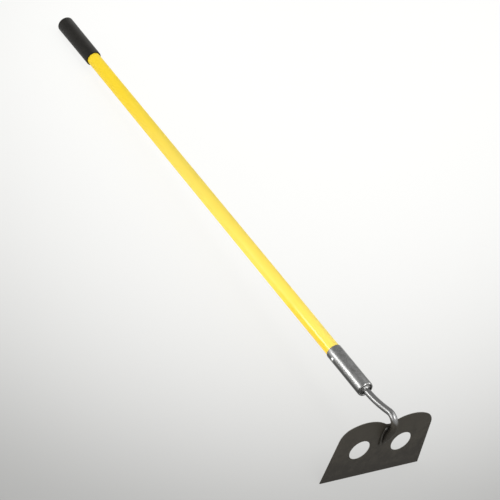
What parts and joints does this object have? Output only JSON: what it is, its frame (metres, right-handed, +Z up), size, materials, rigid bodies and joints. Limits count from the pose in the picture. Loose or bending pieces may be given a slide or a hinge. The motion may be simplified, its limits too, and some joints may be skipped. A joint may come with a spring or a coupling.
{
  "type": "cement hoe",
  "caption": "Long-handled hoe for mixing cement: a dark lobed plate blade with round holes on a bright swan neck, a steel ferrule, a yellow handle and a black sleeve grip.",
  "frame": {"origin": "middle of the bounding box, on the floor the hoe lies on", "axes": "+X along the tool from the grip towards the blade, +Z up from the floor, +Y across the blade; the hoe lies on its cutting edge and the butt of its grip"},
  "size_m": [1.4972, 0.254, 0.166],
  "materials": {
    "blade_plate": "dark charcoal coat, satin, rubbed a little at the edges",
    "bright_bar": "bright drawn round bar, its last part darkened like the blade",
    "bright_tube": "bright drawn tube, fine lengthwise grain",
    "dark_steel": "dark rolled surface, heat tinted round the weld",
    "weld_metal": "rippled weld bead, glossy on its crests",
    "yellow_fibreglass": "smooth clear-coated fibreglass, warm lemon yellow",
    "plug_wood": "plain turned dowel",
    "grip_rubber": "matt black, finely stippled"
  },
  "bodies": {
    "root": {"blade": "blade_plate", "blade_weld_left": "weld_metal", "blade_weld_right": "weld_metal", "swan_neck_shank": "bright_bar", "shank_root_weld": "weld_metal", "ferrule_rim_weld": "weld_metal", "ferrule_end_disc": "dark_steel", "ferrule": "bright_tube", "ferrule_rivet": "bright_bar", "handle_tube": "yellow_fibreglass", "handle_core_plug": "plug_wood", "grip_sleeve": "grip_rubber"}
  },
  "joints": []
}
